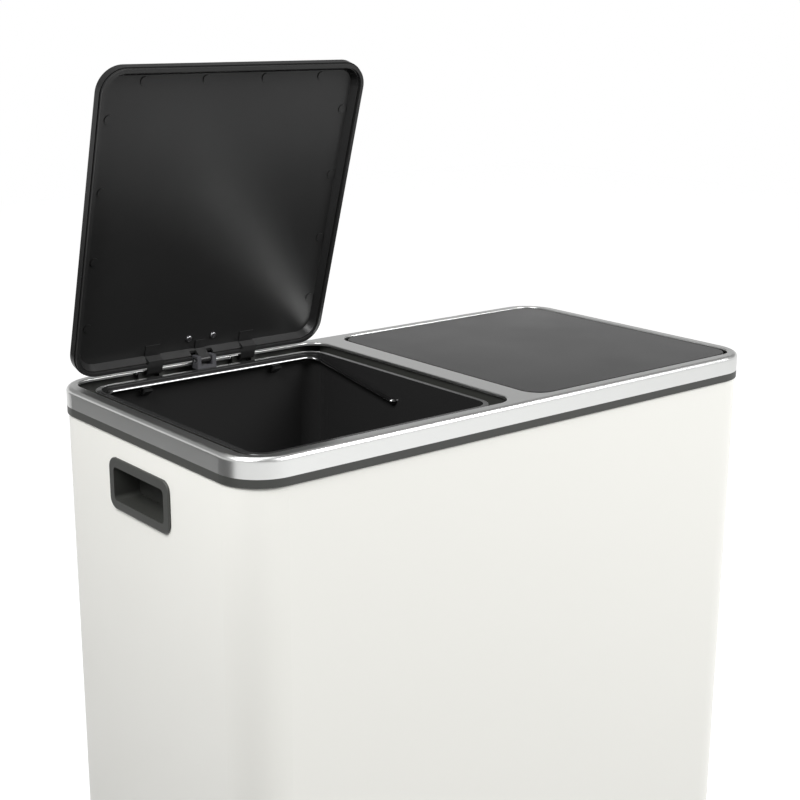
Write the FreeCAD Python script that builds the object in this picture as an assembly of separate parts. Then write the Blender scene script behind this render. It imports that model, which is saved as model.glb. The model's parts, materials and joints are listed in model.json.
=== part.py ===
"""Double recycling bin: steel body, rim with two hinged lids, lift-out buckets and pedal linkages.

Frame: +X to the right along the front, -Y to the front, +Z up, floor at z = 0. Millimetres.
The left lid stands open with its pedal down, and the right lid is closed with its pedal up.
"""
import FreeCAD, Part
import math
import os

# ---------------- driving dimensions ----------------
# Whole bin
BIN_WIDTH = 585.0
BIN_DEPTH = 309.0
BIN_HEIGHT = 650.0
BIN_CORNER = 38.0
FIT = 0.3              # gap between pieces that pass or face each other
PIN_FIT = 0.05         # radial gap of a pin in its hole

# Rim
RIM_STRIP = 12.3       # flat strip between the outer edge and each window
RIM_HEIGHT = 16.6
RIM_SHEET = 1.0
RIM_EDGE = 4.0         # rolled outer edge
RIM_HEM = 2.6          # turned-down edge of each window
HEM_WALL = 2.4
HEM_EDGE = 1.0
DIVIDER_WIDTH = 24.0
WINDOW_CORNER = 19.0

# Body shell
BAND_HEIGHT = 6.9
BODY_INSET = 1.2
BODY_SHEET = 1.0
BODY_FLANGE = 10.0
BASE_HEIGHT = 40.0

# Lids
LID_GAP = 1.35
LID_DROP = 0.6         # lid top below the rim top
LID_SHEET = 1.0
LID_WALL = 8.5
LID_EDGE = 1.5
LID_CORNER = 23.0
LID_THICKNESS = 11.5
LIP_INSET = 1.0
LIP_WIDTH = 3.0
LIP_HEIGHT = 2.8
FLANK_RUN = 5.0
LINER_SHEET = 1.6
LINER_MARK_RADIUS = 3.8
LINER_MARK_HEIGHT = 0.8
LINER_MARK_INSET = 14.0
LINER_MARKS_PER_SIDE = 4
LID_SCREW_INSET = 20.0
LID_SCREW_SPREAD = 13.0

# Hinge and crank
HINGE_INSET = 5.9      # axis in front of the back face
HINGE_DROP = 4.0       # axis below the rim top
OPEN_ANGLE = 73.4
AXLE_RADIUS = 1.5
EYE_RADIUS = 2.7
ARM_WIDTH = 15.0
ARM_SPACING = 101.0
ARM_RUN = 15.0         # length of the arm's pad on the dish
ARM_PAD = 1.0          # its thickness where it passes over the bucket's flange
NOTCH_SIDE = 14.0      # open notch in the rim's hem beside each arm
BOSS_LENGTH = 6.0
CRANK_RADIUS = 14.0
CRANK_ANGLE = 45.5     # crank below level when the lid is closed
CRANK_LUG_WIDTH = 10.6
CRANK_EYE = 3.0

# Linkage
FORK_GAP = 12.0
FORK_CHEEK = 4.0
FORK_DEPTH = 10.0
FORK_HALF_HEIGHT = 4.0
SLOT_HALF_HEIGHT = 2.1
SLOT_LENGTH = 7.6
PUSH_ROD_RADIUS = 2.5
PUSH_ROD_INSET = 17.8  # rod centre in front of the back face
GUIDE_HEIGHTS = (180.0, 540.0)
GUIDE_WIDTH = 20.0
GUIDE_THICKNESS = 8.0
DAMPER_SPACING = 28.0
DAMPER_RADIUS = 7.0
DAMPER_BORE = 6.0
DAMPER_LENGTH = 70.0
DAMPER_BOTTOM = 340.0
DAMPER_ROD_RADIUS = 1.5
PISTON_LENGTH = 8.0
PARTITION_SHEET = 1.5
PARTITION_DROP = 35.0
PARTITION_HALF_WIDTH = 240.0

# Collar
GROOVE_DROP = 13.5
COLLAR_SHEET = 1.5
COLLAR_RING = 1.6
UPSTAND_WALL = 2.4
UPSTAND_HEIGHT = 6.6
RIM_RIB_INSET = 8.0
FORK_PORT_WIDTH = 25.0
BUMPER_RADIUS = 3.0
BUMPER_INSET = 4.2
COLLAR_SCREW_INSET = 7.5
COLLAR_SCREW_GAP = (11.8, 27.0)     # beyond the inner boss and beyond the outer notch
SCREW_RADIUS = 1.6
SCREW_HEAD_RADIUS = 3.0
SCREW_HEAD = 1.8

# Buckets
BUCKET_SIDE_GAP = 10.6
BUCKET_FRONT_GAP = 10.2
BUCKET_BACK_GAP = 11.0
BUCKET_DROP = 4.6
BUCKET_FLANGE = 5.0
BUCKET_FLANGE_THICKNESS = 2.0
BUCKET_WALL = 1.6
BUCKET_DRAFT = 1.2
BUCKET_CORNER = 15.0
BUCKET_FOOT_CORNER = 24.0
BUCKET_FOOT_EDGE = 6.0

# Bails
BAIL_RADIUS = 2.25
BAIL_DROP = 29.0
BAIL_CLEARANCE = 1.8
BAIL_BEND = 12.0
BAIL_REACH = 4.6       # gap from the bail's bar to the bucket's wall line
BAIL_BAR_DROP = 9.4
REST_SPACING = 140.0
REST_WIDTH = 8.0
REST_DEPTH = 9.0
REST_HEIGHT = 8.0

# Side grips
GRIP_LENGTH = 96.0
GRIP_HEIGHT = 45.0
GRIP_CORNER = 10.0
GRIP_CENTRE_Y = 5.0
GRIP_DROP = 65.0
GRIP_PROUD = 2.2
GRIP_BORDER = 8.0
GRIP_DEPTH = 22.0
GRIP_WALL = 2.0

# Base, feet and pedals
BASE_WALL = 3.0
BASE_LEDGE = 14.0
BASE_LEDGE_THICKNESS = 4.0
BASE_CLEARANCE = 5.0   # base wall above the floor
BASE_FLOOR_RISE = 10.0  # bucket floor above the body's lower edge
BASE_FLOOR = 3.0
FOOT_RADIUS = 12.0
FOOT_INSET = 34.0
PEDAL_PIVOT_Y = 10.0
PEDAL_PIVOT_DROP = 13.0 # pivot below the ledge that carries the body
PEDAL_AXLE_RADIUS = 3.0
PEDAL_WIDTH = 84.0
PEDAL_SHEET = 3.0
PEDAL_REACH = 34.0     # pad in front of the body
PEDAL_PAD_DEPTH = 30.0
PEDAL_PAD_THICKNESS = 7.0
PEDAL_WINDOW_GAP = 4.0
REAR_ARM_WIDTH = 20.0
TREAD_RIBS = 5

# ---------------- derived places ----------------
BACK = BIN_DEPTH / 2.0
SIDE = BIN_WIDTH / 2.0
RIM_BOTTOM = BIN_HEIGHT - RIM_HEIGHT
BASE_FLOOR_TOP = BASE_HEIGHT + BASE_FLOOR_RISE
PEDAL_PIVOT_Z = BASE_HEIGHT - BASE_LEDGE_THICKNESS - PEDAL_PIVOT_DROP
BODY_TOP = RIM_BOTTOM - BAND_HEIGHT
BODY_INNER = BODY_INSET + BODY_SHEET
BODY_Y = PEDAL_REACH / 2.0     # sets the frame's origin under the middle of the whole bin
WINDOW_Y = BACK - RIM_STRIP
WINDOW_X = (DIVIDER_WIDTH / 2.0, SIDE - RIM_STRIP)
LID_CENTRE_X = sum(WINDOW_X) / 2.0
LID_TOP = BIN_HEIGHT - LID_DROP
LID_BOTTOM = LID_TOP - LID_THICKNESS
PANEL_BOTTOM = LID_TOP - LID_SHEET - LINER_SHEET
HINGE_Y = BACK - HINGE_INSET
HINGE_Z = BIN_HEIGHT - HINGE_DROP
GROOVE = BIN_HEIGHT - GROOVE_DROP
BUCKET_TOP = BIN_HEIGHT - BUCKET_DROP
ROD_Y = BACK - PUSH_ROD_INSET
DAMPER_Y = BACK - BODY_INNER - DAMPER_RADIUS - 4.0
PARTITION_Y = WINDOW_Y - BUCKET_BACK_GAP - BUCKET_FLANGE + BUCKET_WALL + FIT + 0.2
DAMPER_X = LID_CENTRE_X - DAMPER_SPACING
CRANK_TRAVEL = CRANK_RADIUS * (math.sin(math.radians(OPEN_ANGLE - CRANK_ANGLE))
                               + math.sin(math.radians(CRANK_ANGLE)))
PEDAL_REAR_ARM = ROD_Y - PEDAL_PIVOT_Y
PEDAL_ANGLE = math.degrees(2.0 * math.asin(CRANK_TRAVEL / 2.0 / PEDAL_REAR_ARM))
PIN_CLOSED_Y = HINGE_Y - CRANK_RADIUS * math.cos(math.radians(CRANK_ANGLE))
PIN_CLOSED_Z = HINGE_Z - CRANK_RADIUS * math.sin(math.radians(CRANK_ANGLE))
FORK_WIDTH = FORK_GAP + 2.0 * FORK_CHEEK
X_AXIS = FreeCAD.Vector(1, 0, 0)
CYCLE = FreeCAD.Rotation(FreeCAD.Vector(1, 1, 1), 120)   # turns X to Y, Y to Z and Z to X


# ---------------- helpers ----------------
def point(x, y, z):
    return FreeCAD.Vector(x, y, z)


def box(x0, x1, y0, y1, z0, z1):
    return Part.makeBox(x1 - x0, y1 - y0, z1 - z0, point(x0, y0, z0))


def bar_x(x0, x1, y, z, radius):
    return Part.makeCylinder(radius, x1 - x0, point(x0, y, z), X_AXIS)


def bar_z(x, y, z0, z1, radius):
    return Part.makeCylinder(radius, z1 - z0, point(x, y, z0))


def grown(area, margin):
    x0, x1, y0, y1 = area
    return (x0 - margin, x1 + margin, y0 - margin, y1 + margin)


def rounded_outline(area, z, radius):
    """A level rectangle with round corners."""
    x0, x1, y0, y1 = area
    centres = [(x1 - radius, y0 + radius, -90), (x1 - radius, y1 - radius, 0),
               (x0 + radius, y1 - radius, 90), (x0 + radius, y0 + radius, 180)]
    arcs = []
    for x, y, start in centres:
        angles = [math.radians(start + turn) for turn in (0, 45, 90)]
        arcs.append(Part.Arc(*[point(x + radius * math.cos(a), y + radius * math.sin(a), z)
                               for a in angles]).toShape())
    edges = []
    for arc, following in zip(arcs, arcs[1:] + arcs[:1]):
        edges.append(arc)
        edges.append(Part.makeLine(arc.Vertexes[-1].Point, following.Vertexes[0].Point))
    return Part.Wire(edges)


def rounded_block(area, z0, z1, radius):
    return Part.Face(rounded_outline(area, z0, radius)).extrude(point(0, 0, z1 - z0))


def tapered_block(low, low_z, low_radius, high, high_z, high_radius):
    wires = [rounded_outline(low, low_z, low_radius), rounded_outline(high, high_z, high_radius)]
    return Part.makeLoft(wires, True, True)


def ring(area, radius, outer, inner, z0, z1):
    """A rounded wall between two insets from an area's edge."""
    outside = rounded_block(grown(area, -outer), z0, z1, radius - outer)
    return outside.cut(rounded_block(grown(area, -inner), z0, z1, max(radius - inner, 1.0)))


def slab_yz(points, x0, x1):
    """A flat outline in the YZ plane, given thickness along X."""
    corners = [point(x0, y, z) for y, z in points]
    face = Part.Face(Part.makePolygon(corners + corners[:1]))
    return face.extrude(point(x1 - x0, 0, 0))


def fuse(shapes):
    return shapes[0].fuse(shapes[1:]).removeSplitter()


def cut(shape, tools):
    return shape.cut(Part.makeCompound(tools))


def mirrored(shape):
    return shape.mirror(point(0, 0, 0), X_AXIS)


def top_edges(shape, z):
    """The edges that lie level at one height."""
    return [e for e in shape.Edges if all(abs(v.Z - z) < 0.001 for v in e.Vertexes)]


def opened(shape, angle=OPEN_ANGLE):
    """A lid piece turned open about the hinge axis."""
    turned = shape.copy()
    turned.rotate(point(0, HINGE_Y, HINGE_Z), X_AXIS, -angle)
    return turned


def screw(x, y, z, length, up=1.0):
    """A pan-head screw with its head's seat at z, its shank pointing away from the head."""
    head = Part.makeCylinder(SCREW_HEAD_RADIUS, SCREW_HEAD, point(x, y, z), point(0, 0, up))
    top = z + up * SCREW_HEAD
    head = head.makeFillet(SCREW_HEAD * 0.6, top_edges(head, top))
    shank = Part.makeCylinder(SCREW_RADIUS, length, point(x, y, z), point(0, 0, -up))
    return head.fuse(shank).removeSplitter()


# ---------------- areas ----------------
BIN_AREA = (-SIDE, SIDE, -BACK, BACK)
BODY_AREA = grown(BIN_AREA, -BODY_INSET)
BODY_CORNER = BIN_CORNER - BODY_INSET
WINDOW = (WINDOW_X[0], WINDOW_X[1], -WINDOW_Y, WINDOW_Y)
LID_AREA = grown(WINDOW, -LID_GAP)
BUCKET_AREA = (WINDOW_X[0] + BUCKET_SIDE_GAP, WINDOW_X[1] - BUCKET_SIDE_GAP,
               -WINDOW_Y + BUCKET_FRONT_GAP, WINDOW_Y - BUCKET_BACK_GAP)
BUCKET_MOUTH = grown(BUCKET_AREA, -BUCKET_FLANGE)
ARM_PLACES = (LID_CENTRE_X - ARM_SPACING / 2.0, LID_CENTRE_X + ARM_SPACING / 2.0)
COLLAR_SCREW_X = (ARM_PLACES[0] - ARM_WIDTH / 2.0 - FIT - BOSS_LENGTH - COLLAR_SCREW_GAP[0],
                  ARM_PLACES[1] + ARM_WIDTH / 2.0 + NOTCH_SIDE + COLLAR_SCREW_GAP[1])
COLLAR_SCREW_PLACES = [(side * x, y) for x in COLLAR_SCREW_X for side in (-1, 1)
                       for y in (-1, 1)]


# ---------------- body ----------------
def body_shell():
    outside = rounded_block(BODY_AREA, BASE_HEIGHT, BODY_TOP, BODY_CORNER)
    hollow = rounded_block(grown(BODY_AREA, -BODY_SHEET), BASE_HEIGHT + BODY_SHEET,
                           BODY_TOP - BODY_SHEET, BODY_CORNER - BODY_SHEET)
    mouth = rounded_block(grown(BODY_AREA, -BODY_SHEET - BODY_FLANGE), BASE_HEIGHT, BODY_TOP,
                          BODY_CORNER - BODY_SHEET - BODY_FLANGE)
    shell = outside.cut(hollow).cut(mouth)
    grips = [grip_hole(side) for side in (-1, 1)]
    holes = [bar_z(x, side * (BACK - COLLAR_SCREW_INSET), BODY_TOP - BODY_SHEET, BODY_TOP,
                   SCREW_RADIUS + PIN_FIT) for x, side in COLLAR_SCREW_PLACES]
    holes += [bar_z(x, side * (BACK - COLLAR_SCREW_INSET), BASE_HEIGHT,
                    BASE_HEIGHT + BODY_SHEET, SCREW_RADIUS + PIN_FIT)
              for x, side in COLLAR_SCREW_PLACES]
    return cut(shell, grips + holes)


def block_along_x(area_yz, x0, x1, radius):
    block = rounded_block(area_yz, x0, x1, radius)
    block.Placement = FreeCAD.Placement(point(0, 0, 0), CYCLE)
    return block


GRIP_Z = BIN_HEIGHT - GRIP_DROP
GRIP_AREA = (GRIP_CENTRE_Y - GRIP_LENGTH / 2.0, GRIP_CENTRE_Y + GRIP_LENGTH / 2.0,
             GRIP_Z - GRIP_HEIGHT / 2.0, GRIP_Z + GRIP_HEIGHT / 2.0)
GRIP_MOUTH = grown(GRIP_AREA, -GRIP_BORDER)
GRIP_FACE = SIDE - BODY_INSET


def grip_hole(side):
    area = grown(GRIP_MOUTH, GRIP_WALL)
    block = block_along_x(area, GRIP_FACE - BODY_SHEET - 1.0, GRIP_FACE + 1.0,
                          GRIP_CORNER - GRIP_BORDER + GRIP_WALL + 2.0)
    return block if side > 0 else mirrored(block)


def grip_cup():
    """The right-hand recessed grip: a proud bezel and a cup through the body's side."""
    bezel = block_along_x(GRIP_AREA, GRIP_FACE, GRIP_FACE + GRIP_PROUD, GRIP_CORNER)
    face = GRIP_FACE + GRIP_PROUD
    rounds = [e for e in bezel.Edges if all(abs(v.X - face) < 0.001 for v in e.Vertexes)]
    bezel = bezel.makeFillet(GRIP_PROUD * 0.6, rounds)
    mouth_corner = GRIP_CORNER - GRIP_BORDER + 2.0
    cup = block_along_x(grown(GRIP_MOUTH, GRIP_WALL), GRIP_FACE - GRIP_DEPTH - GRIP_WALL,
                        GRIP_FACE, mouth_corner + GRIP_WALL)
    hollow = block_along_x(GRIP_MOUTH, GRIP_FACE - GRIP_DEPTH, face, mouth_corner)
    return bezel.fuse(cup).cut(hollow).removeSplitter()


# ---------------- rim and collar ----------------
def rim_notches():
    """The cut-outs under the rim's back strip that the right-hand lid's arms swing through."""
    notches = []
    for x in ARM_PLACES:
        notches.append(box(x - ARM_WIDTH / 2.0 - 1.0, x + ARM_WIDTH / 2.0 + NOTCH_SIDE,
                           WINDOW_Y - HEM_WALL, WINDOW_Y + HEM_WALL + FIT,
                           RIM_BOTTOM, BIN_HEIGHT - RIM_SHEET))
    return notches


def rim_trim():
    outside = rounded_block(BIN_AREA, RIM_BOTTOM, BIN_HEIGHT, BIN_CORNER)
    outside = outside.makeFillet(RIM_EDGE, top_edges(outside, BIN_HEIGHT))
    under = BIN_HEIGHT - RIM_SHEET
    hollow = rounded_block(grown(BIN_AREA, -RIM_SHEET), RIM_BOTTOM, under, BIN_CORNER - RIM_SHEET)
    hollow = hollow.makeFillet(RIM_EDGE - RIM_SHEET, top_edges(hollow, under))
    rim = outside.cut(hollow)
    windows = rounded_block(WINDOW, BIN_HEIGHT - RIM_HEM, BIN_HEIGHT, WINDOW_CORNER)
    hems = rounded_block(grown(WINDOW, HEM_WALL), BIN_HEIGHT - RIM_HEM, under,
                         WINDOW_CORNER + HEM_WALL)
    rim = rim.fuse([hems, mirrored(hems)]).cut(windows).cut(mirrored(windows)).removeSplitter()
    inner = [e for e in top_edges(rim, BIN_HEIGHT)
             if all(abs(v.X) < WINDOW_X[1] + 0.1 and abs(v.Y) < WINDOW_Y + 0.1
                    for v in e.Vertexes)]
    rim = rim.makeFillet(HEM_EDGE, inner)
    notches = rim_notches()
    return cut(rim, notches + [mirrored(n) for n in notches])


def hinge_bosses():
    """Two bored bosses beside each arm of the right-hand lid."""
    bosses = []
    for x in ARM_PLACES:
        left = x - ARM_WIDTH / 2.0 - FIT - BOSS_LENGTH
        right = x + ARM_WIDTH / 2.0 + FIT
        for start in (left, right):
            block = box(start, start + BOSS_LENGTH, HINGE_Y - EYE_RADIUS, HINGE_Y + EYE_RADIUS,
                        GROOVE - COLLAR_SHEET, HINGE_Z)
            crown = bar_x(start, start + BOSS_LENGTH, HINGE_Y, HINGE_Z, EYE_RADIUS)
            bore = bar_x(start, start + BOSS_LENGTH, HINGE_Y, HINGE_Z, AXLE_RADIUS + PIN_FIT)
            bosses.append(block.fuse(crown).cut(bore))
    return bosses


def top_collar():
    under = GROOVE - COLLAR_SHEET
    band = ring(BIN_AREA, BIN_CORNER, 0.0, BODY_INNER + 1.0, BODY_TOP, RIM_BOTTOM)
    neck = ring(BIN_AREA, BIN_CORNER, BODY_INNER - 1.0, BODY_INNER + 1.0, RIM_BOTTOM,
                BIN_HEIGHT - RIM_EDGE - RIM_SHEET)
    floor = rounded_block(grown(BIN_AREA, -BODY_INNER), under, GROOVE, BIN_CORNER - BODY_INNER)
    skirt = ring(BIN_AREA, BIN_CORNER, BODY_INNER + BODY_FLANGE - COLLAR_RING,
                 BODY_INNER + BODY_FLANGE, BODY_TOP, under)
    support = ring(BIN_AREA, BIN_CORNER, RIM_RIB_INSET - COLLAR_RING / 2.0,
                   RIM_RIB_INSET + COLLAR_RING / 2.0, GROOVE, BIN_HEIGHT - RIM_SHEET)
    back_strip = box(-SIDE, SIDE, WINDOW_Y - BUCKET_BACK_GAP, BACK, GROOVE, BIN_HEIGHT)
    hem = rounded_block(grown(WINDOW, HEM_WALL + FIT), GROOVE, BIN_HEIGHT,
                        WINDOW_CORNER + HEM_WALL + FIT)
    pockets = [bar_z(x, side * (BACK - COLLAR_SCREW_INSET), GROOVE, BIN_HEIGHT,
                     SCREW_HEAD_RADIUS + FIT) for x, side in COLLAR_SCREW_PLACES]
    support = cut(support, [back_strip, hem, mirrored(hem)] + pockets)
    collar = fuse([band, neck, floor, skirt, support])
    divider_edge = DIVIDER_WIDTH / 2.0 - HEM_WALL - FIT
    divider = box(-divider_edge, divider_edge, -WINDOW_Y + FIT, WINDOW_Y - FIT, GROOVE,
                  BIN_HEIGHT - RIM_SHEET)
    channel = box(-divider_edge + COLLAR_RING, divider_edge - COLLAR_RING, -WINDOW_Y + FIT,
                  WINDOW_Y - FIT, GROOVE, BIN_HEIGHT - RIM_SHEET - COLLAR_RING)
    additions = [divider.cut(channel)]
    hollows = []
    for turn in (lambda s: s, mirrored):
        upstand = rounded_block(grown(BUCKET_AREA, -0.2), under, GROOVE + UPSTAND_HEIGHT,
                                BUCKET_CORNER + BUCKET_FLANGE)
        well = rounded_block(grown(BUCKET_AREA, -0.2 - UPSTAND_WALL), BODY_TOP,
                             GROOVE + UPSTAND_HEIGHT, BUCKET_CORNER + BUCKET_FLANGE - UPSTAND_WALL)
        additions.append(turn(upstand))
        hollows.append(turn(well))
        additions += [turn(boss) for boss in hinge_bosses()]
        port = box(LID_CENTRE_X - FORK_PORT_WIDTH / 2.0, LID_CENTRE_X + FORK_PORT_WIDTH / 2.0,
                   ROD_Y - FORK_DEPTH / 2.0 - 2.0 * FIT, WINDOW_Y + 1.0, BODY_TOP,
                   GROOVE + UPSTAND_HEIGHT)
        hollows.append(turn(port))
    additions += [bar_z(x, side * (BACK - COLLAR_SCREW_INSET), BODY_TOP, GROOVE,
                        SCREW_HEAD_RADIUS + 0.6) for x, side in COLLAR_SCREW_PLACES]
    collar = collar.fuse(additions)
    screw_holes = [bar_z(x, side * (BACK - COLLAR_SCREW_INSET), BODY_TOP, GROOVE,
                         SCREW_RADIUS) for x, side in COLLAR_SCREW_PLACES]
    return cut(collar, hollows + screw_holes).removeSplitter()


def collar_screws():
    return Part.makeCompound([screw(x, side * (BACK - COLLAR_SCREW_INSET), GROOVE,
                                    GROOVE - BODY_TOP + 5.0) for x, side in COLLAR_SCREW_PLACES])


def base_screws():
    return Part.makeCompound([screw(x, side * (BACK - COLLAR_SCREW_INSET),
                                    BASE_HEIGHT - BASE_LEDGE_THICKNESS,
                                    BASE_LEDGE_THICKNESS + 5.0, -1.0)
                              for x, side in COLLAR_SCREW_PLACES])


def lid_bumpers():
    """Rubber buffers in the groove, under the corners of both lids."""
    x0, x1, y0, y1 = grown(LID_AREA, -BUMPER_INSET)
    pads = []
    for x in (x0 + LID_CORNER, x1 - LID_CORNER):
        pad = bar_z(x, y0, GROOVE, LID_BOTTOM - FIT, BUMPER_RADIUS)
        pads += [pad, mirrored(pad)]
    return Part.makeCompound(pads)


# ---------------- lids ----------------
def lid_skin():
    """The right-hand lid's painted plate, closed."""
    outside = rounded_block(LID_AREA, LID_TOP - LID_WALL, LID_TOP, LID_CORNER)
    outside = outside.makeFillet(LID_EDGE, top_edges(outside, LID_TOP))
    under = LID_TOP - LID_SHEET
    hollow = rounded_block(grown(LID_AREA, -LID_SHEET), LID_TOP - LID_WALL, under,
                           LID_CORNER - LID_SHEET)
    hollow = hollow.makeFillet(LID_EDGE - LID_SHEET, top_edges(hollow, under))
    return outside.cut(hollow).cut(crank_notch(LID_TOP - LID_WALL / 2.0))


def crank_notch(top):
    """The space that the fork needs in the lid's back edge."""
    half = FORK_WIDTH / 2.0 + 2.0
    return box(LID_CENTRE_X - half, LID_CENTRE_X + half, ROD_Y - FORK_DEPTH / 2.0 - 1.0,
               BACK, LID_BOTTOM - 1.0, top)


def hinge_arm(x):
    """A ramped arm from the dish to the hinge eye, with the axle's bore."""
    y1 = LID_AREA[3] - LIP_INSET - LIP_WIDTH
    foot = LID_BOTTOM
    past_flange = BUCKET_AREA[3] + 3.0 * FIT
    profile = [(y1 - ARM_RUN, PANEL_BOTTOM + 0.8), (y1 - ARM_RUN, PANEL_BOTTOM - ARM_PAD),
               (past_flange, PANEL_BOTTOM - ARM_PAD), (past_flange + 1.5, foot),
               (HINGE_Y - 3.0, foot), (HINGE_Y - 0.5, foot + 1.6),
               (HINGE_Y + EYE_RADIUS, HINGE_Z - 0.6), (HINGE_Y + EYE_RADIUS, HINGE_Z),
               (HINGE_Y - EYE_RADIUS, HINGE_Z), (HINGE_Y - EYE_RADIUS - 1.7, foot + 2.2),
               (y1, foot + 2.6), (y1, PANEL_BOTTOM + 0.8)]
    x0 = x - ARM_WIDTH / 2.0
    arm = slab_yz(profile, x0, x0 + ARM_WIDTH)
    eye = bar_x(x0, x0 + ARM_WIDTH, HINGE_Y, HINGE_Z, EYE_RADIUS)
    bore = bar_x(x0, x0 + ARM_WIDTH, HINGE_Y, HINGE_Z, AXLE_RADIUS + PIN_FIT)
    return arm, eye, bore


def crank_lug():
    """The lug that carries the crank pin under the middle of the lid's back edge."""
    x0 = LID_CENTRE_X - CRANK_LUG_WIDTH / 2.0
    past_flange = BUCKET_AREA[3] + 3.0 * FIT
    profile = [(PIN_CLOSED_Y - ARM_RUN, PANEL_BOTTOM + 0.8),
               (PIN_CLOSED_Y - ARM_RUN, PANEL_BOTTOM - ARM_PAD),
               (past_flange, PANEL_BOTTOM - ARM_PAD),
               (PIN_CLOSED_Y - CRANK_EYE, PIN_CLOSED_Z),
               (PIN_CLOSED_Y + CRANK_EYE, PIN_CLOSED_Z), (PIN_CLOSED_Y - 1.0, PANEL_BOTTOM - 3.0),
               (PIN_CLOSED_Y - 6.0, PANEL_BOTTOM + 0.8)]
    lug = slab_yz(profile, x0, x0 + CRANK_LUG_WIDTH)
    eye = bar_x(x0, x0 + CRANK_LUG_WIDTH, PIN_CLOSED_Y, PIN_CLOSED_Z, CRANK_EYE)
    bore = bar_x(x0, x0 + CRANK_LUG_WIDTH, PIN_CLOSED_Y, PIN_CLOSED_Z, AXLE_RADIUS)
    return lug, eye, bore


def liner_marks():
    """Round moulded pads along the front and side edges of the dish."""
    x0, x1, y0, y1 = grown(LID_AREA, -LINER_MARK_INSET)
    count = LINER_MARKS_PER_SIDE
    places = []
    for k in range(count):
        share = (k + 0.5) / count
        places += [(x0 + share * (x1 - x0), y0), (x0, y0 + share * (y1 - y0)),
                   (x1, y0 + share * (y1 - y0))]
    return [bar_z(x, y, PANEL_BOTTOM - LINER_MARK_HEIGHT, PANEL_BOTTOM + 0.5, LINER_MARK_RADIUS)
            for x, y in places]


def lid_screw_places():
    """One place on each side of the crank lug."""
    return [(LID_CENTRE_X + side * LID_SCREW_SPREAD, LID_AREA[3] - LID_SCREW_INSET)
            for side in (-1, 1)]


def lid_liner():
    """The right-hand lid's moulded dish, closed, with its arms and crank lug."""
    lip_in = LIP_INSET + LIP_WIDTH
    panel_in = lip_in + FLANK_RUN
    lip_top = LID_BOTTOM + LIP_HEIGHT
    panel_top = PANEL_BOTTOM + LINER_SHEET
    lip = ring(LID_AREA, LID_CORNER, LIP_INSET, lip_in, LID_BOTTOM, LID_TOP - LID_WALL - 0.1)
    seat = ring(LID_AREA, LID_CORNER, LID_SHEET + 0.15, lip_in, LID_TOP - LID_WALL - 0.1, lip_top)
    wall = LINER_SHEET
    flank = tapered_block(grown(LID_AREA, wall - lip_in), lip_top - 0.5, LID_CORNER - lip_in + wall,
                          grown(LID_AREA, wall - panel_in), panel_top, LID_CORNER - panel_in + wall)
    additions = [flank, seat]
    bores = []
    for x in ARM_PLACES:
        arm, eye, bore = hinge_arm(x)
        additions += [arm, eye]
        bores.append(bore)
    lug, lug_eye, lug_bore = crank_lug()
    dish = tapered_block(grown(LID_AREA, -lip_in), LID_BOTTOM - 0.01, LID_CORNER - lip_in,
                         grown(LID_AREA, -panel_in), PANEL_BOTTOM, LID_CORNER - panel_in)
    shell = lip.fuse([flank, seat]).cut(dish).cut(crank_notch(PANEL_BOTTOM - 2.2))
    liner = shell.fuse(additions[2:] + [lug, lug_eye] + liner_marks())
    shanks = [bar_z(x, y, PANEL_BOTTOM, panel_top, SCREW_RADIUS) for x, y in lid_screw_places()]
    return cut(liner, bores + [lug_bore] + shanks).removeSplitter()


def lid_screws():
    return Part.makeCompound([screw(x, y, PANEL_BOTTOM, LINER_SHEET, -1.0)
                              for x, y in lid_screw_places()])


def crank_pin():
    half = FORK_WIDTH / 2.0 + 0.5
    return bar_x(LID_CENTRE_X - half, LID_CENTRE_X + half, PIN_CLOSED_Y, PIN_CLOSED_Z, AXLE_RADIUS)


def hinge_axle():
    reach = ARM_WIDTH / 2.0 + FIT + BOSS_LENGTH + 1.0
    return bar_x(ARM_PLACES[0] - reach, ARM_PLACES[1] + reach, HINGE_Y, HINGE_Z, AXLE_RADIUS)


# ---------------- linkage ----------------
def rod_fork():
    """The slotted fork on the push rod, with the lid closed."""
    x0 = LID_CENTRE_X - FORK_WIDTH / 2.0
    z0 = PIN_CLOSED_Z - FORK_HALF_HEIGHT
    z1 = PIN_CLOSED_Z + FORK_HALF_HEIGHT
    y0 = ROD_Y - FORK_DEPTH / 2.0
    y1 = ROD_Y + FORK_DEPTH / 2.0
    neck = FORK_CHEEK
    block = box(x0, x0 + FORK_WIDTH, y0, y1, z0 - neck, z1)
    gap = box(x0 + FORK_CHEEK, x0 + FORK_CHEEK + FORK_GAP, y0, y1, z0 - 1.0, z1)
    slot = box(x0, x0 + FORK_WIDTH, ROD_Y - SLOT_LENGTH / 2.0, ROD_Y + SLOT_LENGTH / 2.0,
               PIN_CLOSED_Z - SLOT_HALF_HEIGHT, PIN_CLOSED_Z + SLOT_HALF_HEIGHT)
    socket = bar_z(LID_CENTRE_X, ROD_Y, z0 - neck, z0 - 1.0, PUSH_ROD_RADIUS)
    sleeve = bar_z(LID_CENTRE_X, ROD_Y, z0 - neck - 8.0, z0 - neck, PUSH_ROD_RADIUS + 1.5)
    bore = bar_z(LID_CENTRE_X, ROD_Y, z0 - neck - 8.0, z0 - neck, PUSH_ROD_RADIUS)
    return block.cut(gap).cut(slot).fuse(sleeve).cut(bore).cut(socket)


def rod_foot_low():
    """Height of the push rod's foot with the lid closed."""
    low = PEDAL_PIVOT_Z - CRANK_TRAVEL / 2.0
    return low + PEDAL_SHEET / 2.0 + 2.0 * FIT


def push_rod():
    top = PIN_CLOSED_Z - FORK_HALF_HEIGHT - 1.0
    return bar_z(LID_CENTRE_X, ROD_Y, rod_foot_low(), top, PUSH_ROD_RADIUS)


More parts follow.
